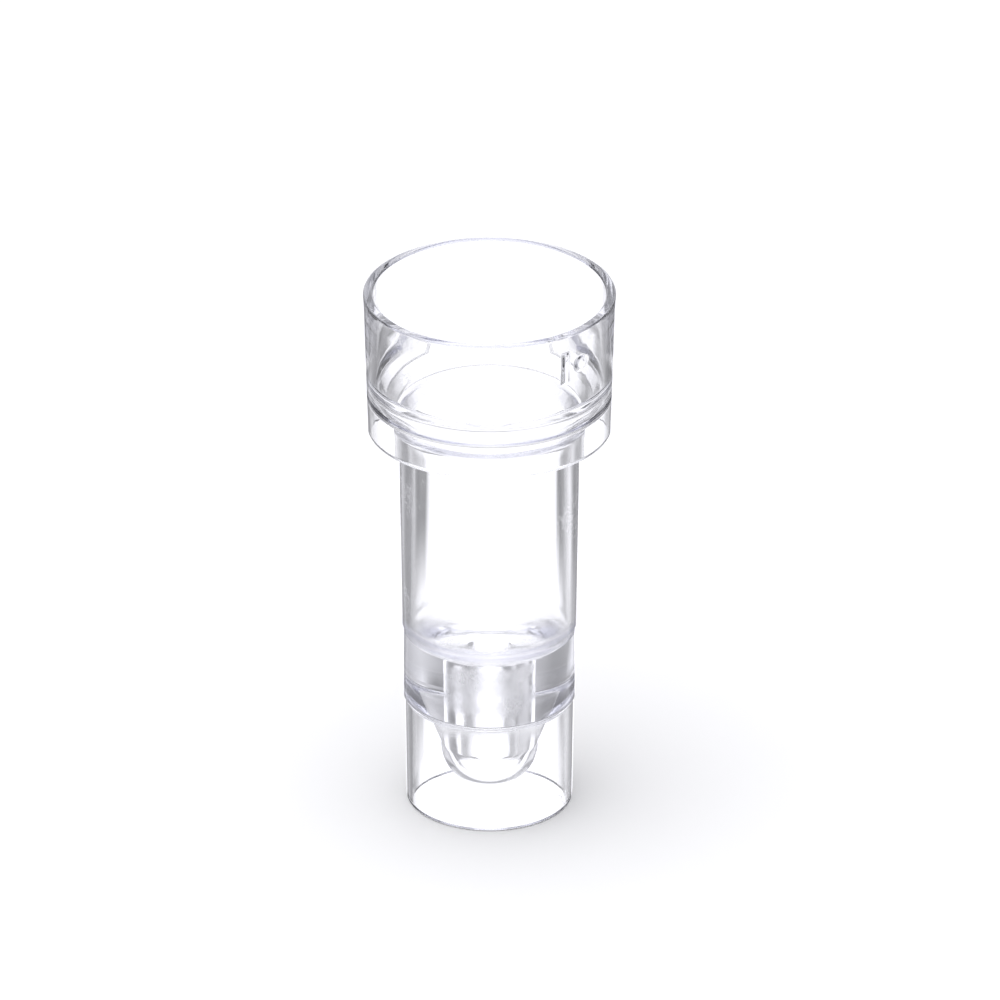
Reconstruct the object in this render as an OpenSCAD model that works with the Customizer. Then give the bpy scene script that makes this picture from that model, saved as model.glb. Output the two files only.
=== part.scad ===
// Sample cup: a clear moulded cup with a wide collar mouth, a slim
// barrel, a narrow round-tipped well under its thick floor and a resting skirt.
// Millimetres, +Z up. The cup stands on z = 0 and its axis is the Z axis.

/* [Overall] */
// Height from the resting edge to the rim
cup_height = 38; // [31.5:0.5:46]
// Outside diameter across the rim
rim_diameter = 17; // [16.4:0.1:20.4]
// Outside diameter at the top of the barrel
barrel_diameter = 12.32; // [10.2:0.02:13]

/* [Collar] */
// Height of the collar, from its lower edge to the rim
collar_height = 10; // [8.3:0.1:12]
// Wall thickness of the collar, at the rim and at its lower edge
collar_wall = 0.67; // [0.5:0.01:0.8]
// Draft of the collar's outer face, in degrees
collar_draft = 1.5; // [0:0.1:1.8]
// Depth of the wide mouth, from the rim down to the funnel
mouth_depth = 5.8; // [4.8:0.1:7]
// Lead-in at the rim, from the rim's inner edge in to the straight mouth
lead_in = 0.07; // [0.02:0.01:0.12]
// Radius of the two rounded edges of the rim
rim_round = 0.14; // [0.05:0.01:0.2]

/* [Funnel] */
// Width of the sloping ledge, from the mouth in to the shoulder edge
ledge_width = 1.11; // [0.9:0.01:1.35]
// Drop from the mouth to the shoulder edge
shoulder_drop = 1.8; // [1.5:0.1:2.2]
// Drop from the shoulder edge to the straight bore
throat_drop = 1.8; // [1.5:0.1:2.2]
// Height of the web's underside above the shoulder edge
web_lift = 0.2; // [0:0.05:0.4]
// Length of the flare below the funnel's throat
flare_tail = 0.2; // [0.1:0.1:0.8]

/* [Barrel] */
// Wall thickness of the barrel
barrel_wall = 0.88; // [0.7:0.01:1.1]
// Draft of the barrel, the floor block and the skirt, in degrees
body_draft = 0.62; // [0:0.01:0.8]

/* [Floor and well] */
// Height of the floor's outer edge above the resting edge
floor_height = 14; // [11.7:0.1:16.8]
// Depth of the elliptical bowl that the floor is dished to, on the axis
bowl_depth = 2.4; // [2:0.1:2.9]
// Thickness of the floor block at its outer edge
floor_thickness = 6.3; // [5.3:0.1:7.5]
// Drop from the floor's outer edge to the step on the outside
step_drop = 0.7; // [0.3:0.1:1.5]
// Step from the barrel in to the floor block, on the radius
block_step = 0.1; // [0.04:0.01:0.2]
// Inside diameter of the narrow well
well_diameter = 3.6; // [3:0.1:4.4]
// Wall thickness at the well's rounded tip
well_wall = 1.4; // [1.1:0.01:1.6]
// Clearance under the lowest point of the tip
tip_clearance = 1.2; // [0.6:0.1:1.5]

/* [Base skirt] */
// Step from the floor block in to the skirt, on the radius
skirt_step = 0.1; // [0.04:0.01:0.2]
// Wall thickness of the skirt
skirt_wall = 0.66; // [0.5:0.01:0.8]
// Gap between the skirt and the root of the well
root_gap = 0.65; // [0.4:0.01:0.8]
// Height of the foot band at the bottom of the skirt
foot_height = 1; // [0.6:0.1:2]

/* [Mould marks] */
// Direction of the cavity marks around the collar, in degrees from +X
mark_angle = -53; // [-180:1:180]
// Height of the cavity marks' centre below the rim
mark_drop = 2.4; // [2:0.1:3.4]
// Relief of the cavity marks
mark_relief = 0.12; // [0.05:0.01:0.2]

/* [Hidden] */
clear = [0.93, 0.94, 0.97, 0.4];
$fn = 128;
rim_r = rim_diameter / 2;
rim_in_r = rim_r - collar_wall;
rim_z = cup_height - 0.7;
mouth_r = rim_in_r - lead_in;
mouth_z = cup_height - mouth_depth;
collar_low = cup_height - collar_height;
shoulder_r = mouth_r - ledge_width;
shoulder_z = mouth_z - shoulder_drop;
throat_z = shoulder_z - throat_drop;
web_z = shoulder_z + web_lift;
flare_z = throat_z - flare_tail;
barrel_r = barrel_diameter / 2;
barrel_low_r = barrel_r - (flare_z - floor_height) * tan(body_draft);
bore_r = barrel_r - barrel_wall;
bore_low_r = barrel_low_r - barrel_wall;
ceiling_z = floor_height - floor_thickness;
step_z = floor_height - step_drop;
step_r = barrel_low_r - step_drop * tan(body_draft);
block_r = step_r - block_step;
block_low_r = block_r - (floor_thickness - step_drop) * tan(body_draft);
skirt_r = block_low_r - skirt_step;
well_r = well_diameter / 2;
well_root_r = skirt_r - skirt_wall - root_gap;
tip_r = well_r + well_wall;
tip_z = tip_clearance + tip_r;
foot_r = base_r(0);
foot_round = 0.12;
bar_width = 0.5;
bar_height = 2.2;
dot_r = 0.5;
dot_angle = 9;
mark_z = cup_height - mark_drop;
mark_face = collar_r(mark_z) + mark_relief;

// Outer radius of the collar at height z
function collar_r(z) = rim_r - (cup_height - z) * tan(collar_draft);

// Inner radius of the collar's lower edge at height z
function skirt_in_r(z) = collar_r(z) - collar_wall;

// Outer radius of the flare at height z
function flare_r(z) = barrel_r + (skirt_in_r(web_z) - barrel_r) * (z - flare_z) / (web_z - flare_z);

// Outer radius of the base skirt at height z
function base_r(z) = skirt_r - (ceiling_z - z) * tan(body_draft);

// Outer radius of the well at height z, which widens in a curve towards the floor block
function well_out_r(z) = tip_r + (well_root_r - tip_r) * pow((z - tip_z) / (ceiling_z - tip_z), 1.6);

// Point on the bowl's half ellipse at angle a, which is 0 at the barrel's wall
function bowl_point(a) = [bore_low_r * cos(a), floor_height - bowl_depth * sin(a)];

// Points of a round corner with centre (x, z) and radius r, from angle a to angle b
function corner(x, z, r, a, b) =
  [for (i = [0:6]) [x + r * cos(a + (b - a) * i / 6), z + r * sin(a + (b - a) * i / 6)]];

// Solid with the collar's outer face, for trimming the marks to it
module collar_solid() {
  translate([0, 0, mouth_z])
    cylinder(h = mouth_depth, r1 = collar_r(mouth_z), r2 = rim_r);
}

// Rounded lip at the top of the collar
module rim() {
  color(clear)
    rotate_extrude()
      polygon(concat(
        [[mouth_r, rim_z], [collar_r(rim_z), rim_z]],
        corner(rim_r - rim_round, cup_height - rim_round, rim_round, 0, 90),
        corner(rim_in_r + rim_round, cup_height - rim_round, rim_round, 90, 180)
      ));
}

// Thin wall around the wide mouth
module collar() {
  color(clear)
    rotate_extrude()
      polygon([
        [mouth_r, mouth_z],
        [collar_r(mouth_z), mouth_z],
        [collar_r(rim_z), rim_z],
        [mouth_r, rim_z]
      ]);
}

// Sloping ring that joins the collar to the flare
module funnel() {
  color(clear)
    rotate_extrude()
      polygon([
        [shoulder_r, shoulder_z],
        [flare_r(shoulder_z), shoulder_z],
        [skirt_in_r(web_z), web_z],
        [collar_r(web_z), web_z],
        [collar_r(mouth_z), mouth_z],
        [mouth_r, mouth_z]
      ]);
}

// Tapered wall from the shoulder edge down to the barrel
module flare() {
  color(clear)
    rotate_extrude()
      polygon([
        [bore_r, flare_z],
        [barrel_r, flare_z],
        [flare_r(shoulder_z), shoulder_z],
        [shoulder_r, shoulder_z],
        [bore_r, throat_z]
      ]);
}

// Lower edge of the collar, which hangs around the flare
module collar_skirt() {
  color(clear)
    rotate_extrude()
      polygon([
        [skirt_in_r(collar_low), collar_low],
        [collar_r(collar_low), collar_low],
        [collar_r(web_z), web_z],
        [skirt_in_r(web_z), web_z]
      ]);
}

// Straight wall around the bore
module barrel() {
  color(clear)
    rotate_extrude()
      polygon([
        [bore_low_r, floor_height],
        [barrel_low_r, floor_height],
        [barrel_r, flare_z],
        [bore_r, flare_z]
      ]);
}

// Thick floor, dished to a bowl, with the mouth of the narrow well through it
module floor_block() {
  color(clear)
    rotate_extrude()
      polygon(concat(
        [[well_r, ceiling_z], [block_low_r, ceiling_z], [block_r, step_z], [step_r, step_z]],
        [[barrel_low_r, floor_height]],
        [for (i = [0:10]) bowl_point(acos(well_r / bore_low_r) * i / 10)]
      ));
}

// Wall of the narrow well, wider where it meets the floor block
module well() {
  color(clear)
    rotate_extrude()
      polygon(concat(
        [[well_r, ceiling_z], [well_r, tip_z]],
        [for (i = [0:8]) let (z = tip_z + (ceiling_z - tip_z) * i / 8) [well_out_r(z), z]]
      ));
}

// Rounded bottom of the narrow well
module well_tip() {
  color(clear)
    translate([0, 0, tip_z])
      rotate_extrude()
        intersection() {
          difference() {
            circle(r = tip_r);
            circle(r = well_r);
          }
          translate([0, -tip_r])
            square([tip_r, tip_r]);
        }
}

// Open skirt under the floor block
module base_skirt() {
  color(clear)
    rotate_extrude()
      polygon([
        [base_r(foot_height) - skirt_wall, foot_height],
        [base_r(foot_height), foot_height],
        [skirt_r, ceiling_z],
        [skirt_r - skirt_wall, ceiling_z]
      ]);
}

// Foot band with rounded edges, which the cup stands on
module foot() {
  color(clear)
    rotate_extrude()
      polygon(concat(
        [[base_r(foot_height), foot_height], [base_r(foot_height) - skirt_wall, foot_height]],
        corner(foot_r - skirt_wall + foot_round, foot_round, foot_round, 180, 270),
        corner(foot_r - foot_round, foot_round, foot_round, 270, 360)
      ));
}

// Upright bar of the cavity mark
module cavity_bar() {
  color(clear)
    difference() {
      rotate([0, 0, mark_angle])
        translate([mark_face - 1, -bar_width / 2, mark_z - bar_height / 2])
          cube([1, bar_width, bar_height]);
      collar_solid();
    }
}

// Round dot of the cavity mark
module cavity_dot() {
  color(clear)
    difference() {
      rotate([0, 0, mark_angle + dot_angle])
        translate([mark_face - 1, 0, mark_z])
          rotate([0, 90, 0])
            cylinder(h = 1, r = dot_r);
      collar_solid();
    }
}

rim();
collar();
funnel();
flare();
collar_skirt();
barrel();
floor_block();
well();
well_tip();
base_skirt();
foot();
cavity_bar();
cavity_dot();
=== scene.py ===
import math

import bmesh
import bpy
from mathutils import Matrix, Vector


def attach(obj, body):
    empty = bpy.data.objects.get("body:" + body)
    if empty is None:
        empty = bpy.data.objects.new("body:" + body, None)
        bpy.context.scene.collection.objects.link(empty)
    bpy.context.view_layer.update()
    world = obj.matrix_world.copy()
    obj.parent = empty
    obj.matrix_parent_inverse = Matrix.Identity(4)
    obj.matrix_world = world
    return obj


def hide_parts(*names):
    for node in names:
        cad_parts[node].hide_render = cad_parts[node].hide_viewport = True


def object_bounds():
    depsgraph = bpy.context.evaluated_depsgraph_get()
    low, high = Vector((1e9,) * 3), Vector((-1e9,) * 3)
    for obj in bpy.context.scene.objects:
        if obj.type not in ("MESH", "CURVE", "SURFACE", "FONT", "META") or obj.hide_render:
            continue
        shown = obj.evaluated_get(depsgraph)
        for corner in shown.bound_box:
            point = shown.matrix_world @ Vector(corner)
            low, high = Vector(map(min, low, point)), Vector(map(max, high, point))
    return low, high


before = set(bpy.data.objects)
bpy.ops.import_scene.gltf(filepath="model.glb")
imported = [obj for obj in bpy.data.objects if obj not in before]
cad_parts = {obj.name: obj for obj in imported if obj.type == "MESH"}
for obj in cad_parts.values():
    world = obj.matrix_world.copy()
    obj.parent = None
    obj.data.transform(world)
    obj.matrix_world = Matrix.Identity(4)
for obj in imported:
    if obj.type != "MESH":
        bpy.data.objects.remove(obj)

MM = 0.001
scene = bpy.context.scene
cad_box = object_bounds()

# Sizes are in millimetres. The rim's radius and the top come from the frame; the others repeat the design's.
LO, HI = cad_box
RIM_R = (HI.x - LO.x) / 2 / MM
TOP = HI.z / MM
WELL_R, TIP_R, TIP_Z = 1.8, 3.2, 4.4
BORE_R, FLOOR_Z, BOWL_DEPTH = 5.13, 14.0, 2.4
COLLAR_LOW_R, COLLAR_LOW_Z = 8.238, 28.0

# The moulded mark on the collar: an upright bar and a dot beside it, standing out by MARK_RAISE
MARK_LOW, MARK_HIGH, MARK_MIDDLE = 34.1, 37.1, 35.6
MARK_TURN = math.radians(-53)
MARK_RAISE, MARK_EDGE = 0.12, 0.26
BAR_HALF_WIDTH, BAR_HALF_HEIGHT = 0.25, 1.1
DOT_R, DOT_ASIDE = 0.5, 1.33


def collar_at(z):
    """Radius of the collar's outer face at height z."""
    return COLLAR_LOW_R + (RIM_R - COLLAR_LOW_R) * (z - COLLAR_LOW_Z) / (TOP - COLLAR_LOW_Z)


def fillet(points, steps=8):
    """Rounds a closed outline. Each point is (radius, height, corner radius), all in millimetres."""
    out = []
    count = len(points)
    for i in range(count):
        x, z, rad = points[i]
        if rad <= 0:
            out.append((x, z))
            continue
        before, after = points[i - 1], points[(i + 1) % count]
        v1 = Vector((before[0] - x, before[1] - z))
        v2 = Vector((after[0] - x, after[1] - z))
        l1, l2 = v1.length, v2.length
        v1.normalize()
        v2.normalize()
        half = math.acos(max(-1.0, min(1.0, v1.dot(v2)))) / 2
        reach = rad / math.tan(half)
        # Two rounded corners share the line between them, so that neither runs into the other
        reach = min(reach, l1 * (0.49 if before[2] > 0 else 0.98))
        reach = min(reach, l2 * (0.49 if after[2] > 0 else 0.98))
        r = reach * math.tan(half)
        p1, p2 = Vector((x, z)) + v1 * reach, Vector((x, z)) + v2 * reach
        c = Vector((x, z)) + (v1 + v2).normalized() * (r / math.sin(half))
        a1 = math.atan2(p1.y - c.y, p1.x - c.x)
        a2 = math.atan2(p2.y - c.y, p2.x - c.x)
        turn = (a2 - a1 + math.pi) % (2 * math.pi) - math.pi
        for k in range(steps + 1):
            a = a1 + turn * k / steps
            out.append((c.x + r * math.cos(a), c.y + r * math.sin(a)))
    return out


def bowl(steps=14):
    """The bore's floor: an elliptical bowl, from the barrel's wall in to the mouth of the narrow well."""
    points = []
    for i in range(steps + 1):
        r = BORE_R - (BORE_R - WELL_R) * (1 - math.cos(math.pi / 2 * i / steps))
        drop = BOWL_DEPTH * math.sqrt(max(0.0, 1 - (r / BORE_R) ** 2))
        points.append((r, FLOOR_Z - drop, 0))
    points[-1] = (WELL_R, points[-1][1], 0.06)
    return points


def section():
    """The moulding's section, from the tip's outside up the outer faces and back down inside the well."""
    steps = [math.radians(3 * i) for i in range(31)]
    tip = [(TIP_R * math.sin(a), TIP_Z - TIP_R * math.cos(a)) for a in steps]
    inner_tip = [(WELL_R * math.sin(a), TIP_Z - WELL_R * math.cos(a)) for a in steps]
    flank = [(3.2, 4.6, 0), (4.4, 7.7, 0.8), (5.08, 7.7, 0.15), (4.99, 0.0, 0.12)]
    outside = [(5.65, 0.0, 0.14), (5.74, 7.6, 0.05), (5.84, 7.8, 0.1), (5.90, 13.2, 0),
               (6.0, 13.5, 0), (6.16, 28.0, 0), (6.25, 29.3, 1.2), (7.60, 30.6, 0.2),
               (7.57, 28.0, 0.12), (COLLAR_LOW_R, COLLAR_LOW_Z, 0.12)]
    rows = 60
    for i in range(rows + 1):
        z = MARK_LOW + (MARK_HIGH - MARK_LOW) * i / rows
        outside.append((collar_at(z), z, 0))
    outside.append((8.5, TOP, 0.14))
    inside = [(7.83, TOP, 0.14), (7.74, 32.2, 0.6), (6.65, 30.4, 0.08), (5.28, 28.6, 0.8)]
    well = [(WELL_R, 4.6, 0), (WELL_R, TIP_Z, 0)]
    rounded = fillet([(TIP_R, TIP_Z, 0)] + flank + outside + inside + bowl() + well)
    return tip + rounded[1:-1] + inner_tip[::-1]


def relief(angle, r, z):
    """How far the moulded mark stands out of the collar at a point: an upright bar and a dot beside it."""
    if r < 8.3 or not MARK_LOW < z < MARK_HIGH:
        return 0.0
    across = (angle - MARK_TURN + math.pi) % (2 * math.pi) - math.pi
    across *= r
    bar = max(abs(across) - BAR_HALF_WIDTH, abs(z - MARK_MIDDLE) - BAR_HALF_HEIGHT)
    dot = math.hypot(across - DOT_ASIDE, z - MARK_MIDDLE) - DOT_R
    edge = min(1.0, max(0.0, 0.5 - min(bar, dot) / MARK_EDGE))
    return MARK_RAISE * edge * edge * (3 - 2 * edge)


def turns():
    """Angles of the mesh's columns: even steps, and finer ones across the moulded mark."""
    even = [math.radians(1.25 * i) for i in range(288)]
    centre = MARK_TURN % (2 * math.pi) + 0.08
    fine = [centre + math.radians(0.4 * i) for i in range(-20, 21)]
    kept = [a for a in even if abs(a - centre) > math.radians(8.5)]
    return sorted(kept + fine)


def lathe(name, outline):
    """Turns an outline that starts and ends on the axis into one closed mesh."""
    columns = turns()
    around = len(columns)
    bm = bmesh.new()
    rings = []
    for r, z in outline:
        if r < 1e-6:
            rings.append([bm.verts.new((0, 0, z * MM))])
            continue
        ring = []
        for a in columns:
            out = r + relief(a, r, z)
            ring.append(bm.verts.new((out * MM * math.cos(a), out * MM * math.sin(a), z * MM)))
        rings.append(ring)
    for low, high in zip(rings, rings[1:]):
        for k in range(around):
            n = (k + 1) % around
            if len(low) == 1:
                bm.faces.new((low[0], high[n], high[k]))
            elif len(high) == 1:
                bm.faces.new((low[k], low[n], high[0]))
            else:
                bm.faces.new((low[k], low[n], high[n], high[k]))
    bmesh.ops.recalc_face_normals(bm, faces=bm.faces)
    mesh = bpy.data.meshes.new(name)
    bm.to_mesh(mesh)
    bm.free()
    for face in mesh.polygons:
        face.use_smooth = True
    mesh.set_sharp_from_angle(angle=math.radians(28))
    piece = bpy.data.objects.new(name, mesh)
    scene.collection.objects.link(piece)
    return piece


class Graph:
    """Short calls for building a node tree."""

    def __init__(self, tree):
        self.nodes, self.links = tree.nodes, tree.links

    def put(self, socket, value):
        if isinstance(value, (int, float, tuple)):
            socket.default_value = value
        else:
            self.links.new(value, socket)

    def math(self, kind, a, b=0.0):
        node = self.nodes.new("ShaderNodeMath")
        node.operation = kind
        self.put(node.inputs[0], a)
        self.put(node.inputs[1], b)
        return node.outputs[0]

    def ease(self, value, start, end, low=0.0, high=1.0):
        node = self.nodes.new("ShaderNodeMapRange")
        node.interpolation_type = "SMOOTHSTEP"
        self.put(node.inputs["Value"], value)
        node.inputs["From Min"].default_value = start
        node.inputs["From Max"].default_value = end
        node.inputs["To Min"].default_value = low
        node.inputs["To Max"].default_value = high
        return node.outputs[0]

    def noise(self, where, scale, detail=3.0, rough=0.5):
        node = self.nodes.new("ShaderNodeTexNoise")
        self.put(node.inputs["Vector"], where)
        node.inputs["Scale"].default_value = scale
        node.inputs["Detail"].default_value = detail
        node.inputs["Roughness"].default_value = rough
        return node.outputs[0]

    def stretch(self, where, size, turn=(0.0, 0.0, 0.0)):
        node = self.nodes.new("ShaderNodeMapping")
        self.put(node.inputs["Vector"], where)
        node.inputs["Scale"].default_value = size
        node.inputs["Rotation"].default_value = turn
        return node.outputs[0]

    def mix(self, share, a, b):
        node = self.nodes.new("ShaderNodeMix")
        node.data_type = "RGBA"
        self.put(node.inputs["Factor"], share)
        self.put(node.inputs["A"], a)
        self.put(node.inputs["B"], b)
        return node.outputs["Result"]

    def bump(self, height, strength, distance, under=None):
        node = self.nodes.new("ShaderNodeBump")
        self.put(node.inputs["Height"], height)
        node.inputs["Strength"].default_value = strength
        node.inputs["Distance"].default_value = distance
        if under is not None:
            self.links.new(under, node.inputs["Normal"])
        return node.outputs[0]


def clear_plastic():
    """Clear moulded polystyrene: polished faces with faint flow lines and handling scratches, and a
    sparked, slightly frosted finish on the narrow well and round the bowl, as its core pin leaves it."""
    mat = bpy.data.materials.new("clear_polystyrene")
    mat.use_nodes = True
    g = Graph(mat.node_tree)
    shader = g.nodes["Principled BSDF"]
    shader.inputs["Base Color"].default_value = (1, 1, 1, 1)
    shader.inputs["Transmission Weight"].default_value = 1.0
    shader.inputs["IOR"].default_value = 1.59
    where = g.nodes.new("ShaderNodeTexCoord").outputs["Object"]
    split = g.nodes.new("ShaderNodeSeparateXYZ")
    g.put(split.inputs[0], where)
    x, y, z = split.outputs
    r = g.math("SQRT", g.math("ADD", g.math("MULTIPLY", x, x), g.math("MULTIPLY", y, y)))
    grain = g.noise(where, 9000.0, 4.0, 0.7)
    blotch = g.noise(where, 900.0, 2.0)
    pin_height = g.math("MULTIPLY", g.ease(z, 0.0116, 0.0112), g.ease(z, 0.0070, 0.0084))
    pin = g.math("MULTIPLY", g.ease(r, 0.0022, 0.0020), pin_height)
    corner = g.math("MULTIPLY", g.ease(r, 0.0054, 0.0052), g.ease(z, 0.0143, 0.0138))
    corner = g.math("MULTIPLY", g.ease(r, 0.0036, 0.0044), corner)
    corner = g.math("MULTIPLY", corner, g.ease(z, 0.0112, 0.0118))
    frost = g.math("MAXIMUM", pin, g.math("MULTIPLY", corner, 0.5))
    patchy = g.math("MULTIPLY", frost, g.ease(blotch, 0.30, 0.62, 0.35, 1.0))
    wear = g.noise(g.stretch(where, (1.0, 1.0, 0.15)), 2500.0, 3.0)
    polish = g.ease(wear, 0.45, 0.8, 0.008, 0.045)
    g.put(shader.inputs["Roughness"], g.math("ADD", polish, g.math("MULTIPLY", patchy, 0.26)))
    flow = g.noise(g.stretch(where, (1.0, 1.0, 0.12)), 420.0, 2.0)
    tilt = g.noise(g.stretch(where, (1.0, 0.06, 1.0), (0.5, 0.3, 0.9)), 3800.0, 2.0, 0.6)
    hair = g.ease(g.math("ABSOLUTE", g.math("SUBTRACT", tilt, 0.5)), 0.012, 0.0)
    spots = g.ease(g.noise(where, 260.0, 2.0), 0.60, 0.68)
    height = g.bump(flow, 0.35, 0.00002)
    height = g.bump(g.math("MULTIPLY", hair, spots), 0.25, 0.00001, height)
    height = g.bump(g.math("MULTIPLY", grain, patchy), 1.0, 0.00003, height)
    g.put(shader.inputs["Normal"], height)
    volume = g.nodes.new("ShaderNodeVolumeAbsorption")
    volume.inputs["Color"].default_value = (0.86, 0.87, 0.98, 1)
    volume.inputs["Density"].default_value = 25.0
    g.put(g.nodes["Material Output"].inputs["Volume"], volume.outputs["Volume"])
    return mat


def floor():
    """A plain pale floor. Rays that pass through or reflect off the plastic see the studio instead."""
    bm = bmesh.new()
    bmesh.ops.create_grid(bm, x_segments=8, y_segments=8, size=4.0)
    mesh = bpy.data.meshes.new("floor")
    bm.to_mesh(mesh)
    bm.free()
    plane = bpy.data.objects.new("floor", mesh)
    scene.collection.objects.link(plane)
    plane.location.z = -0.00002
    mat = bpy.data.materials.new("pale_floor")
    mat.use_nodes = True
    shader = mat.node_tree.nodes["Principled BSDF"]
    shader.inputs["Base Color"].default_value = (0.9, 0.9, 0.9, 1)
    shader.inputs["Roughness"].default_value = 0.9
    mesh.materials.append(mat)
    plane.visible_transmission = False
    plane.visible_glossy = False


def bands(g, turn, levels):
    """Light level by compass direction, from a list of (degrees, level); 0 is straight behind the cup."""
    ramp = g.nodes.new("ShaderNodeValToRGB")
    g.put(ramp.inputs[0], turn)
    stops = ramp.color_ramp.elements
    ends = [levels[0], levels[-1]]
    for stop, (angle, level) in zip(stops, ends):
        stop.position = (angle + 180) / 360
        stop.color = (level, level, level * 1.05, 1)
    for angle, level in levels[1:-1]:
        stop = stops.new((angle + 180) / 360)
        stop.color = (level, level, level * 1.05, 1)
    return ramp.outputs[0]


def studio():
    """Soft light all round. Grey flags stand off to the cup's sides, and its walls pick them up as streaks.
    Straight down is a bright table, and overhead is a bright ceiling above a grey band."""
    world = bpy.data.worlds.new("studio")
    scene.world = world
    world.use_nodes = True
    g = Graph(world.node_tree)
    split = g.nodes.new("ShaderNodeSeparateXYZ")
    g.put(split.inputs[0], g.nodes.new("ShaderNodeTexCoord").outputs["Generated"])
    x, y, z = split.outputs
    turn = g.math("ADD", g.math("MULTIPLY", g.math("ARCTAN2", x, y), 0.5 / math.pi), 0.5)
    low = bands(g, turn, [(-180, 0.85), (-130, 0.70), (-90, 0.50), (-65, 0.42), (-50, 0.34), (-44, 0.32),
                          (-37, 0.32), (-31, 0.45), (-26, 0.60), (-22, 0.34), (-19, 0.20), (-12.5, 0.24),
                          (-10.5, 1.35), (13.5, 1.35), (16, 0.30), (18.5, 0.14), (22, 0.26), (28, 0.28),
                          (33, 0.24), (38, 0.42), (45, 0.95), (55, 0.75), (70, 0.48), (90, 0.45),
                          (130, 0.70), (180, 0.85)])
    side = bands(g, turn, [(-180, 0.50), (-165, 0.40), (-140, 0.50), (-125, 0.30), (-112, 1.35), (-68, 1.35),
                           (-58, 0.30), (-40, 0.30), (-25, 0.50), (-14, 1.35), (16, 1.35), (22, 0.40),
                           (45, 0.70), (80, 0.60), (95, 0.30), (108, 0.40), (117, 1.35), (153, 1.35),
                           (165, 0.35), (180, 0.50)])
    # By the ray's height, going up: bright table, low flags, side flags, even light, grey band, ceiling
    light = g.mix(g.ease(z, -0.38, -0.30), low, side)
    light = g.mix(g.ease(z, -0.02, 0.10), light, (0.80, 0.80, 0.83, 1))
    light = g.mix(g.ease(z, 0.22, 0.34), light, (0.22, 0.22, 0.235, 1))
    light = g.mix(g.ease(z, 0.62, 0.72), light, (1.40, 1.40, 1.44, 1))
    light = g.mix(g.ease(z, -0.53, -0.64), light, (1.15, 1.15, 1.2, 1))
    g.put(g.nodes["Background"].inputs["Color"], light)


def softbox():
    """A wide overhead softbox that lights the table."""
    data = bpy.data.lights.new("softbox", "AREA")
    data.shape = "DISK"
    data.size = 1.6
    data.energy = 9.0
    lamp = bpy.data.objects.new("softbox", data)
    scene.collection.objects.link(lamp)
    lamp.location = (-0.3, -0.2, 1.4)
    lamp.rotation_euler = Vector((0.3, 0.2, -1.4)).to_track_quat("-Z", "Y").to_euler()
    lamp.visible_camera = False
    lamp.visible_transmission = False
    lamp.visible_glossy = False


def camera():
    """The photograph's view: from the front, 27 degrees above the horizon."""
    data = bpy.data.cameras.new("camera")
    eye = bpy.data.objects.new("camera", data)
    scene.collection.objects.link(eye)
    lift = math.radians(26.9)
    aim = Vector((0, 0, 22.35 * MM))
    eye.location = aim + Vector((0, -math.cos(lift), math.sin(lift)))
    eye.rotation_euler = (math.pi / 2 - lift, 0, 0)
    data.sensor_width = 36
    data.lens = 532.8
    data.shift_x = 0.0105
    data.clip_end = 100
    scene.camera = eye


cup = lathe("cup_moulding", section())
cup.data.materials.append(clear_plastic())
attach(cup, "root")
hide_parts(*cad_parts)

floor()
studio()
softbox()
scene.view_settings.view_transform = "Standard"

# Light runs down inside the thin walls in many short steps, most of them total reflections
scene.cycles.max_bounces = 32
scene.cycles.transmission_bounces = 32
scene.cycles.glossy_bounces = 32

camera()
